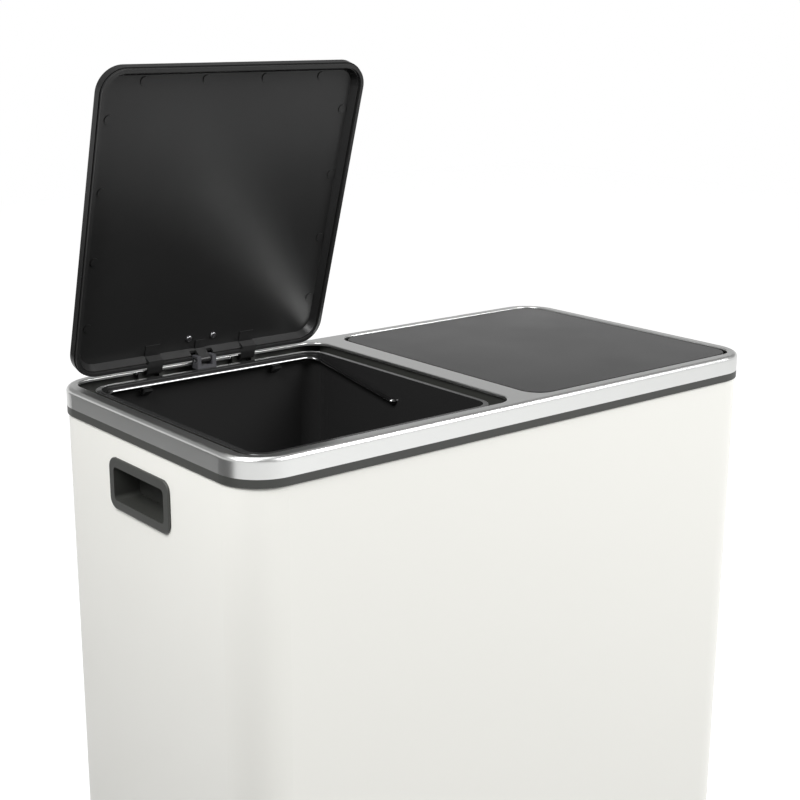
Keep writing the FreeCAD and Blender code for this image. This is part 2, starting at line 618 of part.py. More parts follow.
def rod_guides():
    guides = []
    for z in GUIDE_HEIGHTS:
        block = box(LID_CENTRE_X - GUIDE_WIDTH / 2.0, LID_CENTRE_X + GUIDE_WIDTH / 2.0,
                    PARTITION_Y + PARTITION_SHEET + 1.0, BACK - BODY_INNER, z,
                    z + GUIDE_THICKNESS)
        corners = [e for e in block.Edges if len(e.Vertexes) == 2
                   and all(abs(v.Y - PARTITION_Y - PARTITION_SHEET - 1.0) < 0.001
                           for v in e.Vertexes)
                   and abs(e.Vertexes[0].Z - e.Vertexes[1].Z) > 1.0]
        block = block.makeFillet(3.0, corners)
        bore = bar_z(LID_CENTRE_X, ROD_Y, z, z + GUIDE_THICKNESS, PUSH_ROD_RADIUS + PIN_FIT)
        guide = block.cut(bore)
        guides += [guide, mirrored(guide)]
    return Part.makeCompound(guides)


def damper_cylinder():
    """The right-hand damper's cylinder with the foot that holds it to the back wall."""
    top = DAMPER_BOTTOM + DAMPER_LENGTH
    tube = bar_z(DAMPER_X, DAMPER_Y, DAMPER_BOTTOM, top, DAMPER_RADIUS)
    bore = bar_z(DAMPER_X, DAMPER_Y, DAMPER_BOTTOM + 3.0, top - 2.0, DAMPER_BORE)
    neck = bar_z(DAMPER_X, DAMPER_Y, top - 2.0, top, DAMPER_ROD_RADIUS + PIN_FIT)
    parts = [tube]
    for z in (DAMPER_BOTTOM + 4.0, top - 16.0):
        parts.append(box(DAMPER_X - DAMPER_RADIUS, DAMPER_X + DAMPER_RADIUS, DAMPER_Y,
                         BACK - BODY_INNER, z, z + 12.0))
    return fuse(parts).cut(bore).cut(neck)


def damper_rod():
    """Piston, rod and the arm that clamps it to the push rod, with the lid closed."""
    piston_z = DAMPER_BOTTOM + 8.0
    rod_top = piston_z + PISTON_LENGTH + DAMPER_LENGTH + 20.0
    piston = bar_z(DAMPER_X, DAMPER_Y, piston_z, piston_z + PISTON_LENGTH, DAMPER_BORE - FIT)
    rod = bar_z(DAMPER_X, DAMPER_Y, piston_z, rod_top, DAMPER_ROD_RADIUS)
    z0 = rod_top - 8.0
    hub = bar_z(DAMPER_X, DAMPER_Y, z0, rod_top, 5.0)
    clamp = bar_z(LID_CENTRE_X, ROD_Y, z0, rod_top, PUSH_ROD_RADIUS + 2.5)
    span = box(DAMPER_X, LID_CENTRE_X, ROD_Y - 2.0, ROD_Y + 3.0, z0, rod_top)
    bore = bar_z(LID_CENTRE_X, ROD_Y, z0, rod_top, PUSH_ROD_RADIUS)
    return fuse([piston, rod, hub, clamp, span]).cut(bore)


def rear_partition():
    """A folded sheet between the buckets and the linkage."""
    top = BIN_HEIGHT - PARTITION_DROP
    half = PARTITION_HALF_WIDTH
    back = BACK - BODY_INNER
    sheet = box(-half, half, PARTITION_Y, PARTITION_Y + PARTITION_SHEET, BASE_FLOOR_TOP, top)
    left = box(-half, -half + PARTITION_SHEET, PARTITION_Y, back, BASE_FLOOR_TOP, top)
    return fuse([sheet, left, mirrored(left)])


# ---------------- buckets and bails ----------------
def bucket_foot(area, drop):
    return grown(area, -drop * math.tan(math.radians(BUCKET_DRAFT)))


def bucket_form(mouth, foot, wall):
    """A drafted block from a mouth down to a foot with a bevelled edge."""
    edge = foot + BUCKET_FOOT_EDGE
    low = bucket_foot(mouth, BUCKET_TOP - edge)
    corner = BUCKET_FOOT_CORNER - wall
    upper = tapered_block(low, edge, corner, mouth, BUCKET_TOP,
                          BUCKET_CORNER + BUCKET_WALL - wall)
    bevel = tapered_block(grown(low, -BUCKET_FOOT_EDGE), foot, corner - BUCKET_FOOT_EDGE,
                          low, edge, corner)
    return upper.fuse(bevel)


def bucket():
    """The right-hand bucket: drafted walls, a closed foot and a flat flange."""
    mouth = grown(BUCKET_MOUTH, BUCKET_WALL)
    under = BUCKET_TOP - BUCKET_FLANGE_THICKNESS
    pivots = bar_x(BUCKET_AREA[0], BUCKET_AREA[1], BAIL_PIVOT_Y, BAIL_PIVOT_Z,
                   BAIL_RADIUS + PIN_FIT)
    walls = bucket_form(mouth, BASE_FLOOR_TOP, 0.0).cut(pivots)
    flange = rounded_block(BUCKET_AREA, under, BUCKET_TOP, BUCKET_CORNER + BUCKET_FLANGE)
    flange = flange.makeFillet(0.8, top_edges(flange, BUCKET_TOP))
    floor = BASE_FLOOR_TOP + BUCKET_WALL
    hollow = bucket_form(BUCKET_MOUTH, floor, BUCKET_WALL)
    return walls.fuse(flange).cut(hollow).fuse(bail_rests()).removeSplitter()


BAIL_PIVOT_Y = (BUCKET_MOUTH[2] + BUCKET_MOUTH[3]) / 2.0
BAIL_PIVOT_Z = BIN_HEIGHT - BAIL_DROP
BAIL_BAR_Y = BUCKET_MOUTH[3] - BAIL_REACH
BAIL_BAR_Z = BIN_HEIGHT - BAIL_BAR_DROP
BAIL_LENGTH = math.hypot(BAIL_BAR_Y - BAIL_PIVOT_Y, BAIL_BAR_Z - BAIL_PIVOT_Z)
BAIL_TILT = math.degrees(math.atan2(BAIL_BAR_Z - BAIL_PIVOT_Z, BAIL_BAR_Y - BAIL_PIVOT_Y))
BAIL_SWING = 180.0 - 2.0 * BAIL_TILT


def bail_rests():
    """Small ledges inside the front and back walls that the bail's bar lies on."""
    rests = []
    top = BAIL_BAR_Z - BAIL_RADIUS - FIT
    for x in (LID_CENTRE_X - REST_SPACING / 2.0, LID_CENTRE_X + REST_SPACING / 2.0):
        for wall, inward in ((BUCKET_MOUTH[3], -1.0), (BUCKET_MOUTH[2], 1.0)):
            profile = [(wall - inward * 0.8, top), (wall + inward * REST_DEPTH, top),
                       (wall + inward * REST_DEPTH, top - 1.5),
                       (wall - inward * 0.8, top - REST_HEIGHT)]
            rests.append(slab_yz(profile, x - REST_WIDTH / 2.0, x + REST_WIDTH / 2.0))
    return rests


def bail():
    """A bent wire on the bucket's pivots, lying back: two arms, a bar and outturned ends."""
    inner = BUCKET_MOUTH[0] + BAIL_CLEARANCE + BAIL_RADIUS
    outer = BUCKET_MOUTH[1] - BAIL_CLEARANCE - BAIL_RADIUS
    hook = BAIL_RADIUS + 1.0
    ends = (BUCKET_MOUTH[0] - BUCKET_WALL, BUCKET_MOUTH[1] + BUCKET_WALL)
    flat = [(ends[0], 0.0), (inner, 0.0), (inner, BAIL_LENGTH), (outer, BAIL_LENGTH),
            (outer, 0.0), (ends[1], 0.0)]
    path = bent_wire(flat, [hook, BAIL_BEND, BAIL_BEND, hook])
    section = Part.Wire(Part.makeCircle(BAIL_RADIUS, point(ends[0], 0, 0), X_AXIS))
    wire = path.makePipeShell([section], True, False)
    wire.rotate(point(0, 0, 0), X_AXIS, BAIL_TILT)
    wire.translate(point(0, BAIL_PIVOT_Y, BAIL_PIVOT_Z))
    return wire


def bent_wire(corners, radii):
    """A level path of straight runs with a round bend at each inner corner."""
    edges = []
    start = point(*corners[0], 0)
    for before, corner, after, radius in zip(corners, corners[1:], corners[2:], radii):
        here = point(*corner, 0)
        back = (point(*before, 0) - here).normalize()
        ahead = (point(*after, 0) - here).normalize()
        bend_in = here + back * radius
        bend_out = here + ahead * radius
        centre = here + back * radius + ahead * radius
        middle = centre + (here - centre).normalize() * radius
        edges.append(Part.makeLine(start, bend_in))
        edges.append(Part.Arc(bend_in, middle, bend_out).toShape())
        start = bend_out
    edges.append(Part.makeLine(start, point(*corners[-1], 0)))
    return Part.Wire(edges)


# ---------------- base and pedals ----------------
PAD_Y = -BACK - PEDAL_REACH + PEDAL_PAD_DEPTH
WINDOW_HALF = PEDAL_WIDTH / 2.0 + PEDAL_WINDOW_GAP
EAR_X = (LID_CENTRE_X - PEDAL_WIDTH / 2.0 + 12.0, LID_CENTRE_X + PEDAL_WIDTH / 2.0 - 12.0)


def base_tray():
    """The moulded base: outer wall, ledge for the body, bucket floor and pedal bearings."""
    ledge_low = BASE_HEIGHT - BASE_LEDGE_THICKNESS
    floor_low = BASE_FLOOR_TOP - BASE_FLOOR
    neck_inset = BODY_INNER + BODY_FLANGE + FIT
    wall = ring(BODY_AREA, BODY_CORNER, 0.0, BASE_WALL, BASE_CLEARANCE, BASE_HEIGHT)
    ledge = ring(BODY_AREA, BODY_CORNER, 0.0, BASE_LEDGE, ledge_low, BASE_HEIGHT)
    neck = ring(BIN_AREA, BIN_CORNER, neck_inset, neck_inset + BASE_WALL, ledge_low,
                BASE_FLOOR_TOP)
    floor = rounded_block(grown(BIN_AREA, -neck_inset), floor_low, BASE_FLOOR_TOP,
                          BIN_CORNER - neck_inset)
    pieces = [wall, ledge, neck, floor]
    for x, y in foot_places():
        pieces.append(bar_z(x, y, BASE_CLEARANCE + 1.0, floor_low + 1.0, FOOT_RADIUS + 1.5))
    for x in EAR_X:
        for side in (-1.0, 1.0):
            start = x + side * (PEDAL_SHEET / 2.0 + FIT) - (4.0 if side < 0 else 0.0)
            ear = box(start, start + 4.0, PEDAL_PIVOT_Y - 8.0, PEDAL_PIVOT_Y + 8.0,
                      PEDAL_PIVOT_Z, floor_low + 1.0)
            pieces += [ear, bar_x(start, start + 4.0, PEDAL_PIVOT_Y, PEDAL_PIVOT_Z, 8.0)]
            pieces += [mirrored(p) for p in pieces[-2:]]
    tray = fuse(pieces)
    axle = bar_x(-EAR_X[1] - 10.0, EAR_X[1] + 10.0, PEDAL_PIVOT_Y, PEDAL_PIVOT_Z,
                 PEDAL_AXLE_RADIUS + PIN_FIT)
    tools = [axle]
    for turn in (lambda s: s, mirrored):
        tools.append(turn(box(LID_CENTRE_X - WINDOW_HALF, LID_CENTRE_X + WINDOW_HALF, -BACK,
                              -BACK + BODY_INSET + BASE_WALL, BASE_CLEARANCE, ledge_low)))
        tools.append(turn(bar_z(LID_CENTRE_X, ROD_Y, ledge_low, BASE_FLOOR_TOP,
                                PUSH_ROD_RADIUS + 1.5)))
    for x, y in foot_places():
        tools.append(bar_z(x, y, BASE_CLEARANCE, BASE_CLEARANCE + 4.0, FOOT_RADIUS))
    tools += [bar_z(x, side * (BACK - COLLAR_SCREW_INSET), ledge_low, BASE_HEIGHT,
                    SCREW_RADIUS + PIN_FIT) for x, side in COLLAR_SCREW_PLACES]
    return cut(tray, tools).removeSplitter()


def foot_places():
    return [(sx * (SIDE - FOOT_INSET), sy * (BACK - FOOT_INSET))
            for sx in (-1, 1) for sy in (-1, 1)]


def base_feet():
    feet = []
    for x, y in foot_places():
        foot = bar_z(x, y, 0.0, BASE_CLEARANCE + 4.0, FOOT_RADIUS)
        feet.append(foot.makeFillet(1.5, top_edges(foot, 0.0)))
    return Part.makeCompound(feet)


def pedal_axle():
    reach = EAR_X[1] + PEDAL_SHEET / 2.0 + FIT + 4.0 + 2.0
    return bar_x(-reach, reach, PEDAL_PIVOT_Y, PEDAL_PIVOT_Z, PEDAL_AXLE_RADIUS)


def pedal_turn(shape, share):
    """A pedal piece turned by a share of its swing about the pedal axle."""
    turned = shape.copy()
    turned.rotate(point(0, PEDAL_PIVOT_Y, PEDAL_PIVOT_Z), X_AXIS, share * PEDAL_ANGLE)
    return turned


def pedal_lever():
    """The right-hand lever, level: wide front plate, two pivot ears and a narrow rear arm."""
    z0 = PEDAL_PIVOT_Z - PEDAL_SHEET / 2.0
    z1 = z0 + PEDAL_SHEET
    front = -BACK - PEDAL_REACH + 3.0
    rear = ROD_Y + 8.0
    half = PEDAL_WIDTH / 2.0
    x = LID_CENTRE_X
    clear = PEDAL_PIVOT_Y - 12.0
    plate = box(x - half, x + half, front, clear, z0, z1)
    beam = box(x - REAR_ARM_WIDTH / 2.0, x + REAR_ARM_WIDTH / 2.0, clear, rear, z0, z1)
    bridge_gap = box(x - REAR_ARM_WIDTH / 2.0 - 1.0, x + REAR_ARM_WIDTH / 2.0 + 1.0,
                     PEDAL_PIVOT_Y - 4.5, PEDAL_PIVOT_Y + 4.5, z0, z1)
    parts = [plate, beam.cut(bridge_gap)]
    for side in (-1.0, 1.0):
        edge = x + side * (REAR_ARM_WIDTH / 2.0 - PEDAL_SHEET / 2.0)
        parts.append(box(edge - PEDAL_SHEET / 2.0, edge + PEDAL_SHEET / 2.0, clear - 6.0,
                         PEDAL_PIVOT_Y + 16.0, z0, PEDAL_PIVOT_Z + 7.0))
    for ear_x in EAR_X:
        parts.append(box(ear_x - PEDAL_SHEET / 2.0, ear_x + PEDAL_SHEET / 2.0, clear - 14.0,
                         PEDAL_PIVOT_Y + 6.0, z0, PEDAL_PIVOT_Z + 6.0))
    lever = fuse(parts)
    bore = bar_x(x - half, x + half, PEDAL_PIVOT_Y, PEDAL_PIVOT_Z, PEDAL_AXLE_RADIUS + PIN_FIT)
    return lever.cut(bore)


def pedal_pad():
    """The right-hand pad, level: a moulded cap over the plate's end with tread ribs."""
    x = LID_CENTRE_X
    half = PEDAL_WIDTH / 2.0 + 2.0
    front = -BACK - PEDAL_REACH
    half_height = PEDAL_PAD_THICKNESS / 2.0
    cap = rounded_block((x - half, x + half, front, PAD_Y), PEDAL_PIVOT_Z - half_height,
                        PEDAL_PIVOT_Z + half_height, 6.0)
    cap = cap.makeFillet(2.0, top_edges(cap, PEDAL_PIVOT_Z + half_height))
    pocket = box(x - PEDAL_WIDTH / 2.0, x + PEDAL_WIDTH / 2.0, front + 3.0, PAD_Y,
                 PEDAL_PIVOT_Z - PEDAL_SHEET / 2.0, PEDAL_PIVOT_Z + PEDAL_SHEET / 2.0)
    pitch = (PEDAL_PAD_DEPTH - 8.0) / TREAD_RIBS
    ribs = []
    for k in range(TREAD_RIBS):
        y = front + 4.0 + (k + 0.5) * pitch
        ribs.append(box(x - half + 8.0, x + half - 8.0, y - pitch * 0.25, y + pitch * 0.25,
                        PEDAL_PIVOT_Z + half_height - 0.5, PEDAL_PIVOT_Z + half_height + 0.8))
    return cap.cut(pocket).fuse(ribs).removeSplitter()


# ---------------- assembly ----------------
def lift(shape, share):
    """A push-rod piece raised by a share of the crank's travel."""
    raised = shape.copy()
    raised.translate(point(0, 0, share * CRANK_TRAVEL))
    return raised


def nodes():
    """Every piece by name: the left side open and pressed, the right side closed."""
    found = {
        "body_shell": body_shell(), "rim_trim": rim_trim(), "top_collar": top_collar(),
        "collar_screws": collar_screws(), "base_screws": base_screws(),
        "lid_bumpers": lid_bumpers(), "rod_guides": rod_guides(),
        "rear_partition": rear_partition(), "base_tray": base_tray(),
        "base_feet": base_feet(), "pedal_axle": pedal_axle(),
    }
    for name, shape in {"grip_cup": grip_cup(), "hinge_axle": hinge_axle(),
                        "damper_cylinder": damper_cylinder(), "bucket": bucket(),
                        "bail": bail()}.items():
        found["right_" + name] = shape
        found["left_" + name] = mirrored(shape)
    for name, shape in {"lid_skin": lid_skin(), "lid_liner": lid_liner(),
                        "crank_pin": crank_pin(), "lid_screws": lid_screws()}.items():
        found["right_" + name] = shape
        found["left_" + name] = opened(mirrored(shape))
    for name, shape in {"push_rod": push_rod(), "rod_fork": rod_fork(),
                        "damper_rod": damper_rod()}.items():
        found["right_" + name] = shape
        found["left_" + name] = lift(mirrored(shape), 1.0)
    for name, shape in {"pedal_lever": pedal_lever(), "pedal_pad": pedal_pad()}.items():
        found["right_" + name] = pedal_turn(shape, -0.5)
        found["left_" + name] = pedal_turn(mirrored(shape), 0.5)
    return found


def main():
    os.makedirs("parts", exist_ok=True)
    for name, shape in nodes().items():
        shape.translate(point(0, BODY_Y, 0))
        shape.exportStep("parts/" + name + ".step")
    print("crank travel %.4f mm, pedal swing %.4f deg, bail swing %.4f deg"
          % (CRANK_TRAVEL, PEDAL_ANGLE, BAIL_SWING))


main()
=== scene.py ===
# %% [markdown]
# # A double recycling bin
# The bin is a painted steel box with a brushed rim, two black lids and two glossy buckets.
# The CAD model already holds every piece at its real size, so this lesson only dresses it:
# it gives each piece its finish, and sets up the floor, the light and the camera. Starting
# from the frame means that nothing has to be fitted.

import json
import math

import bmesh
import bpy
from mathutils import Matrix, Vector


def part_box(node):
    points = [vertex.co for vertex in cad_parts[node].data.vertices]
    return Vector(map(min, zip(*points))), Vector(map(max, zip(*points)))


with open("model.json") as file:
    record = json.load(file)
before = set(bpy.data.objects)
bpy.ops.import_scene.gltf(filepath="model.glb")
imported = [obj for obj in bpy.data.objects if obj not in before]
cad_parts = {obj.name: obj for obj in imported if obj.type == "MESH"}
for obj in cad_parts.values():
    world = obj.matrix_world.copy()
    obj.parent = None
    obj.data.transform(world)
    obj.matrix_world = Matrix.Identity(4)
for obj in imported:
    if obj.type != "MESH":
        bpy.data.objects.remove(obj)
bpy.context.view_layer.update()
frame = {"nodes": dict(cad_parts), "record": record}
nodes = frame["nodes"]
print("loaded", len(nodes), "nodes")

# %% [markdown]
# ## Places that the pieces share
# The brushing turns at the rim's corners and the camera looks from the rim's middle, so both
# need the rim's place. Reading its box here means that they still fit a bin of another size.
# The frame's origin is under the middle of the bin with its pedals, so the rim's own middle
# lies a little behind it.

# %% Read the rim's box
rim_low, rim_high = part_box("rim_trim")
middle_y = (rim_low.y + rim_high.y) / 2
rim_half_x = (rim_high.x - rim_low.x) / 2
rim_half_y = (rim_high.y - rim_low.y) / 2
rim_top = rim_high.z
print("rim", [round(v, 4) for v in (rim_half_x, rim_half_y, rim_top)])

# %% [markdown]
# ## Helpers for materials
# A procedural material is a small graph: coordinates go in, patterns are mixed, and the
# Principled shader takes the result. These helpers keep each graph short enough to read.
# Object coordinates are used throughout, because each piece's place is in its mesh, so the
# coordinates are real metres and a pattern has the same scale on every piece.

# %% Start a material
def new_material(name, color, roughness, metallic=0.0):
    material = bpy.data.materials.new(name)
    material.use_nodes = True
    shader = material.node_tree.nodes["Principled BSDF"]
    shader.inputs["Base Color"].default_value = (*color, 1.0)
    shader.inputs["Roughness"].default_value = roughness
    shader.inputs["Metallic"].default_value = metallic
    return material, material.node_tree, shader


def add(tree, kind, **values):
    node = tree.nodes.new(kind)
    for key, value in values.items():
        setattr(node, key, value)
    return node


def object_coordinates(tree):
    return add(tree, "ShaderNodeTexCoord").outputs["Object"]


def set_values(node, values):
    for socket, value in values.items():
        node.inputs[socket].default_value = value


# a noise texture seldom leaves this range, so it is what gets spread over a whole scale
NOISE_RANGE = {"From Min": 0.3, "From Max": 0.7}
print("helpers ready, noise taken from", *NOISE_RANGE.values())

# %% [markdown]
# ## A shared effect: fine grain
# Powder coat, moulded plastic and rubber all have a fine uneven surface. It is one effect at
# different scales, so it is one node group. It gives a height for a Bump node and a value
# that shifts the roughness a little, which is what breaks up a highlight on a real surface.

# %% Start a node group
def new_group(name, inputs, outputs):
    """A group that takes a Vector and the named floats, and gives the named floats."""
    group = bpy.data.node_groups.new(name, "ShaderNodeTree")
    face = group.interface
    face.new_socket("Vector", in_out="INPUT", socket_type="NodeSocketVector")
    for way, sockets in (("INPUT", inputs), ("OUTPUT", outputs)):
        for socket in sockets:
            face.new_socket(socket, in_out=way, socket_type="NodeSocketFloat")
    return group


# %% Build the grain group
BROAD_SCALE = 14.0      # patches of about 7 cm, which shift the roughness


def build_grain_group():
    group = new_group("fine_grain", ("Scale", "Roughness Low", "Roughness High"),
                      ("Height", "Roughness"))
    start = add(group, "NodeGroupInput")
    end = add(group, "NodeGroupOutput")
    fine = add(group, "ShaderNodeTexNoise")
    fine.inputs["Detail"].default_value = 3.0
    group.links.new(start.outputs["Vector"], fine.inputs["Vector"])
    group.links.new(start.outputs["Scale"], fine.inputs["Scale"])
    broad = add(group, "ShaderNodeTexNoise")
    set_values(broad, {"Scale": BROAD_SCALE, "Detail": 4.0})
    group.links.new(start.outputs["Vector"], broad.inputs["Vector"])
    spread = add(group, "ShaderNodeMapRange")
    set_values(spread, NOISE_RANGE)
    group.links.new(broad.outputs["Fac"], spread.inputs["Value"])
    group.links.new(start.outputs["Roughness Low"], spread.inputs["To Min"])
    group.links.new(start.outputs["Roughness High"], spread.inputs["To Max"])
    group.links.new(fine.outputs["Fac"], end.inputs["Height"])
    group.links.new(spread.outputs["Result"], end.inputs["Roughness"])
    return group


fine_grain = build_grain_group()
print(fine_grain.name, "has", len(fine_grain.nodes), "nodes")


# %% Use the grain in a finish
def grained_material(name, color, scale, depth, roughness, metallic=0.0, ior=1.5):
    """A plain finish whose grain gives bump and a roughness between two values."""
    material, tree, shader = new_material(name, color, roughness[0], metallic)
    shader.inputs["IOR"].default_value = ior
    grain = add(tree, "ShaderNodeGroup", node_tree=fine_grain)
    set_values(grain, {"Scale": scale, "Roughness Low": roughness[0],
                       "Roughness High": roughness[1]})
    tree.links.new(object_coordinates(tree), grain.inputs["Vector"])
    tree.links.new(grain.outputs["Roughness"], shader.inputs["Roughness"])
    bump = add(tree, "ShaderNodeBump")
    set_values(bump, {"Strength": 1.0, "Distance": depth})
    tree.links.new(grain.outputs["Height"], bump.inputs["Height"])
    tree.links.new(bump.outputs["Normal"], shader.inputs["Normal"])
    return material


# %% [markdown]
# ## Brushed steel
# The rim is brushed along its length: along X at the front and back, and along Y at the
# sides. Two stretched noises, one for each way, are mixed by which side of the corner's
# diagonal a point lies on, so the brushing turns with the rim as a real sheet's does.

# %% Build the brushed group
LINE_SCALE = 9.0        # along the brushing
LINE_NARROWING = 90.0   # how much finer the lines are across it


def build_brushed_group():
    group = new_group("brushed_lines", ("Half Width", "Half Depth", "Middle Y"), ("Lines",))
    start = add(group, "NodeGroupInput")
    end = add(group, "NodeGroupOutput")
    ways = []
    fine = LINE_SCALE * LINE_NARROWING
    for stretch in ((LINE_SCALE, fine, fine), (fine, LINE_SCALE, fine)):
        place = add(group, "ShaderNodeMapping")
        place.inputs["Scale"].default_value = stretch
        group.links.new(start.outputs["Vector"], place.inputs["Vector"])
        noise = add(group, "ShaderNodeTexNoise")
        set_values(noise, {"Scale": 2.0, "Detail": 2.0})
        group.links.new(place.outputs["Vector"], noise.inputs["Vector"])
        ways.append(noise)
    split = add(group, "ShaderNodeSeparateXYZ")
    group.links.new(start.outputs["Vector"], split.inputs["Vector"])

    def math_node(kind, *inputs):
        node = add(group, "ShaderNodeMath", operation=kind)
        for socket, value in zip(node.inputs, inputs):
            if isinstance(value, float):
                socket.default_value = value
            else:
                group.links.new(value, socket)
        return node.outputs["Value"]

    from_side = math_node("SUBTRACT", start.outputs["Half Width"],
                          math_node("ABSOLUTE", split.outputs["X"]))
    centred = math_node("SUBTRACT", split.outputs["Y"], start.outputs["Middle Y"])
    from_front = math_node("SUBTRACT", start.outputs["Half Depth"],
                           math_node("ABSOLUTE", centred))
    # 1 where the nearest outer edge is a side, and 0 at the front and back
    at_side = math_node("GREATER_THAN", from_front, from_side)
    mix = add(group, "ShaderNodeMix")
    group.links.new(at_side, mix.inputs["Factor"])
    group.links.new(ways[0].outputs["Fac"], mix.inputs["A"])
    group.links.new(ways[1].outputs["Fac"], mix.inputs["B"])
    group.links.new(mix.outputs["Result"], end.inputs["Lines"])
    return group


brushed_lines = build_brushed_group()
print(brushed_lines.name, "has", len(brushed_lines.nodes), "nodes")


# %% Use the lines in a finish
def brushed_material(name, color, roughness, depth):
    """A metal whose fine lines give bump and a roughness between two values."""
    material, tree, shader = new_material(name, color, roughness[0], 1.0)
    lines = add(tree, "ShaderNodeGroup", node_tree=brushed_lines)
    set_values(lines, {"Half Width": rim_half_x, "Half Depth": rim_half_y,
                       "Middle Y": middle_y})
    tree.links.new(object_coordinates(tree), lines.inputs["Vector"])
    shift = add(tree, "ShaderNodeMapRange")
    set_values(shift, {**NOISE_RANGE, "To Min": roughness[0], "To Max": roughness[1]})
    tree.links.new(lines.outputs["Lines"], shift.inputs["Value"])
    tree.links.new(shift.outputs["Result"], shader.inputs["Roughness"])
    bump = add(tree, "ShaderNodeBump")
    bump.inputs["Distance"].default_value = depth
    tree.links.new(lines.outputs["Lines"], bump.inputs["Height"])
    tree.links.new(bump.outputs["Normal"], shader.inputs["Normal"])
    return material


# %% [markdown]
# ## The finishes
# Off-white powder coat on the body, brushed steel on the rim, a smooth black paint on the
# lids, moulded black on the liners and collar, and a high gloss inside the buckets. Black
# finishes differ mostly in roughness, so those values matter more than their colour. The
# lids and liners also have a lower IOR, which keeps the white studio from greying them.

# %% Make the materials
METAL = 1.0
# name: colour, grain scale, grain depth in m, low and high roughness, and what else differs
GRAINED = {
    "body_paint": ((0.80, 0.795, 0.755), 900.0, 0.00002, (0.34, 0.42)),
    "black_plastic": ((0.028, 0.029, 0.026), 1400.0, 0.00003, (0.42, 0.55)),
    "lid_paint": ((0.014, 0.014, 0.014), 700.0, 0.000004, (0.20, 0.26), 0.0, 1.16),
    "liner_plastic": ((0.015, 0.015, 0.015), 500.0, 0.00001, (0.28, 0.38), 0.0, 1.32),
    "bucket_plastic": ((0.016, 0.016, 0.016), 60.0, 0.00002, (0.10, 0.16)),
    "dark_wire": ((0.17, 0.17, 0.17), 900.0, 0.00001, (0.14, 0.2), METAL),
    "screw_steel": ((0.30, 0.30, 0.31), 900.0, 0.00001, (0.30, 0.40), METAL),
    "pin_steel": ((0.42, 0.42, 0.43), 700.0, 0.00001, (0.25, 0.35), METAL),
    "link_plastic": ((0.05, 0.05, 0.055), 900.0, 0.00002, (0.40, 0.50)),
    "damper_plastic": ((0.12, 0.12, 0.13), 900.0, 0.00002, (0.35, 0.45)),
    "zinc_sheet": ((0.08, 0.08, 0.085), 300.0, 0.00002, (0.40, 0.50)),
    "rubber": ((0.025, 0.025, 0.025), 1100.0, 0.00004, (0.65, 0.75)),
    "pedal_steel": ((0.42, 0.42, 0.42), 600.0, 0.00001, (0.30, 0.40), METAL),
}
finishes = {name: grained_material(name, *values) for name, values in GRAINED.items()}
finishes["brushed_rim"] = brushed_material("brushed_rim", (0.62, 0.625, 0.615), (0.28, 0.32),
                                           0.0000015)
print("made", len(finishes), "finishes")

# %% [markdown]
# ## Dress the CAD nodes
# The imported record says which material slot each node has, and the slots have the same names
# as the finishes above. So one loop dresses every node, and a new node needs no new line.

# %% Give every node its finish
for subpart in frame["record"]["subparts"]:
    holder = nodes[subpart["node"]]
    holder.data.materials.clear()
    holder.data.materials.append(finishes[subpart["material_slot"]])

# %% [markdown]
# ## Floor and backdrop
# A product picture stands on white with hardly any shadow. The floor shows white to the
# camera and in reflections, yet it is lit like a plain pale floor otherwise, so it keeps the
# bin's shadow and doesn't light the bin from below more than a real floor would.

# %% Tell the rays that should see white
def sees_white(tree, glossy=True):
    """1 for rays that should meet the plain white of the backdrop."""
    path = add(tree, "ShaderNodeLightPath")
    seen = path.outputs["Is Camera Ray"]
    for ray in ("Is Transmission Ray", "Is Glossy Ray")[:2 if glossy else 1]:
        either = add(tree, "ShaderNodeMath", operation="MAXIMUM")
        tree.links.new(seen, either.inputs[0])
        tree.links.new(path.outputs[ray], either.inputs[1])
        seen = either.outputs["Value"]
    return seen


print("white is seen by camera, transmission and glossy rays")

# %% Lay the floor
FLOOR_SIZE = 12.0
SHADOW_SHARE = 0.35     # how much of the white the bin's shadow can take away
LIT_SHARE = 0.35        # how much of that the lamps give back, so the rest glows by itself
FLOOR_BOUNCE = (0.16, 0.16, 0.155)


def floor_material():
    material, tree, shader = new_material("floor_paper", FLOOR_BOUNCE, 0.9)
    glow = add(tree, "ShaderNodeMapRange")
    glow.inputs["To Max"].default_value = 1.0 - SHADOW_SHARE * LIT_SHARE
    tree.links.new(sees_white(tree), glow.inputs["Value"])
    tree.links.new(glow.outputs["Result"], shader.inputs["Emission Strength"])
    shader.inputs["Emission Color"].default_value = (1.0, 1.0, 1.0, 1.0)
    shade = add(tree, "ShaderNodeMix", data_type="RGBA")
    shade.inputs["A"].default_value = (*FLOOR_BOUNCE, 1.0)
    shade.inputs["B"].default_value = (SHADOW_SHARE, SHADOW_SHARE, SHADOW_SHARE, 1.0)
    tree.links.new(sees_white(tree), shade.inputs["Factor"])
    tree.links.new(shade.outputs["Result"], shader.inputs["Base Color"])
    return material


floor_mesh = bmesh.new()
bmesh.ops.create_grid(floor_mesh, x_segments=1, y_segments=1, size=FLOOR_SIZE / 2)
floor_data = bpy.data.meshes.new("floor")
floor_mesh.to_mesh(floor_data)
floor_mesh.free()
floor = bpy.data.objects.new("floor", floor_data)
bpy.context.collection.objects.link(floor)
floor_data.materials.append(floor_material())
print("floor", FLOOR_SIZE, "m square")

# %% [markdown]
# ## Light
# Big soft lamps give the broad highlights that show a flat panel's finish. The key stands
# at the front right and lights the front panel. The fill is small and hangs close above the
# left side, so that the side panel grows darker downwards, and a top lamp brings out the
# rim's edges. Polished metal shows what stands round it, so the world is white near the
# horizon and darker overhead, as a studio's ceiling is above its backdrop, and a grey card
# behind the left side gives the rim's left face its darker tone.

